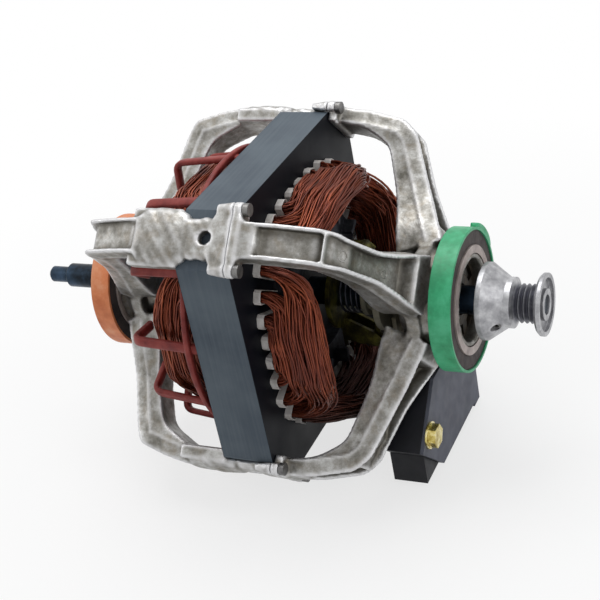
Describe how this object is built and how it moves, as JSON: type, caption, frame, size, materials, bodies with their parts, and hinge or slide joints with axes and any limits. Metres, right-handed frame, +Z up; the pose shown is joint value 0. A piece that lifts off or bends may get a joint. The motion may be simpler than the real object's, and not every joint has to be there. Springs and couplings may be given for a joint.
{
  "type": "dryer motor",
  "caption": "Open-frame dryer motor with ring mounts, cast four-arm brackets, ribbed belt pulley, threaded blower shaft, centrifugal governor and starting switch",
  "frame": {"origin": "centre of the pulley-end mounting ring, on the shaft axis", "axes": "+X along the shaft towards the belt pulley, +Z up, +Y to the rear; the stack's flats face Y and Z and the bracket arms lie on its diagonals"},
  "size_m": [0.254, 0.1432, 0.1521],
  "materials": {
    "lamination_paint": "dark grey baked enamel over laminations",
    "slot_liner": "grey polyester film",
    "copper_enamel": "varnished copper wire",
    "cage_moulding": "red-brown moulded plastic",
    "cast_bracket": "die-cast aluminium, as cast",
    "steel_screw": "zinc-plated steel",
    "green_band": "green painted steel band",
    "orange_band": "orange painted steel band",
    "ring_rubber": "moulded rubber",
    "ring_sleeve": "dull steel sleeve",
    "sintered_bronze": "oil-soaked sintered bronze",
    "bearing_cap": "yellow-passivated steel",
    "shaft_steel": "blued ground steel",
    "rotor_steel": "oxidised laminations",
    "rotor_aluminium": "cast aluminium",
    "washer_fibre": "fibre washer",
    "governor_steel": "yellow-passivated steel",
    "spring_steel": "spring steel wire",
    "governor_moulding": "pale moulded nylon",
    "pulley_metal": "turned zinc-grey metal",
    "switch_moulding": "black phenolic moulding",
    "switch_cover": "grey phenolic sheet",
    "zinc_yellow": "yellow-chromated steel",
    "contact_brass": "brass strip",
    "lever_moulding": "pale moulded plastic",
    "pin_steel": "steel pin"
  },
  "bodies": {
    "stator": {"stator_stack": "lamination_paint", "slot_liners": "slot_liner", "main_winding_top": "copper_enamel", "main_winding_front": "copper_enamel", "main_winding_bottom": "copper_enamel", "main_winding_rear": "copper_enamel", "end_winding_cage": "cage_moulding", "pulley_bracket": "cast_bracket", "blower_bracket": "cast_bracket", "bracket_screws": "steel_screw", "pulley_ring_band": "green_band", "blower_ring_band": "orange_band", "pulley_ring_rubber": "ring_rubber", "blower_ring_rubber": "ring_rubber", "pulley_ring_sleeve": "ring_sleeve", "blower_ring_sleeve": "ring_sleeve", "pulley_bearing": "sintered_bronze", "blower_bearing": "sintered_bronze", "pulley_bearing_cap": "bearing_cap", "blower_bearing_cap": "bearing_cap", "switch_housing": "switch_moulding", "terminal_block": "switch_moulding", "switch_cover": "switch_cover", "switch_screw": "zinc_yellow", "switch_terminals": "contact_brass", "contact_leaves": "contact_brass", "lever_pin": "pin_steel"},
    "rotor": {"shaft": "shaft_steel", "rotor_core": "rotor_steel", "rotor_cage": "rotor_aluminium", "thrust_washers": "washer_fibre", "governor_carrier": "governor_steel", "weight_pins": "governor_steel", "governor_spring": "spring_steel", "pulley": "pulley_metal", "pulley_set_screw": "steel_screw"},
    "governor_sleeve": {"governor_collar": "governor_moulding"},
    "weight_upper": {"governor_weight_upper": "governor_steel"},
    "weight_lower": {"governor_weight_lower": "governor_steel"},
    "lever": {"switch_lever": "lever_moulding"}
  },
  "joints": [
    {"name": "rotor_spin", "type": "hinge", "parent": "stator", "child": "rotor", "pos_m": [-0.0844, 0, 0], "axis": [1, 0, 0], "continuous": true},
    {"name": "governor_slide", "type": "slide", "parent": "rotor", "child": "governor_sleeve", "axis": [-1, 0, 0], "range_m": [0, 0.004], "stiffness_N_per_m": 400, "springref_m": -0.004, "deforming": ["governor_spring"]},
    {"name": "weight_upper_swing", "type": "hinge", "parent": "rotor", "child": "weight_upper", "pos_m": [-0.04245, 0, 0.022], "axis": [0, 1, 0], "range_deg": [0, 18]},
    {"name": "weight_lower_swing", "type": "hinge", "parent": "rotor", "child": "weight_lower", "pos_m": [-0.04245, 0, -0.022], "axis": [0, -1, 0], "range_deg": [0, 18]},
    {"name": "lever_swing", "type": "hinge", "parent": "stator", "child": "lever", "pos_m": [-0.0272, 0, -0.038], "axis": [0, -1, 0], "range_deg": [0, 8.4]}
  ],
  "couplings": [
    {"joint": "weight_upper_swing", "follows": "governor_slide", "rad_per_m": 76.325},
    {"joint": "weight_lower_swing", "follows": "governor_slide", "rad_per_m": 76.325},
    {"joint": "lever_swing", "follows": "governor_slide", "rad_per_m": 35.204}
  ]
}
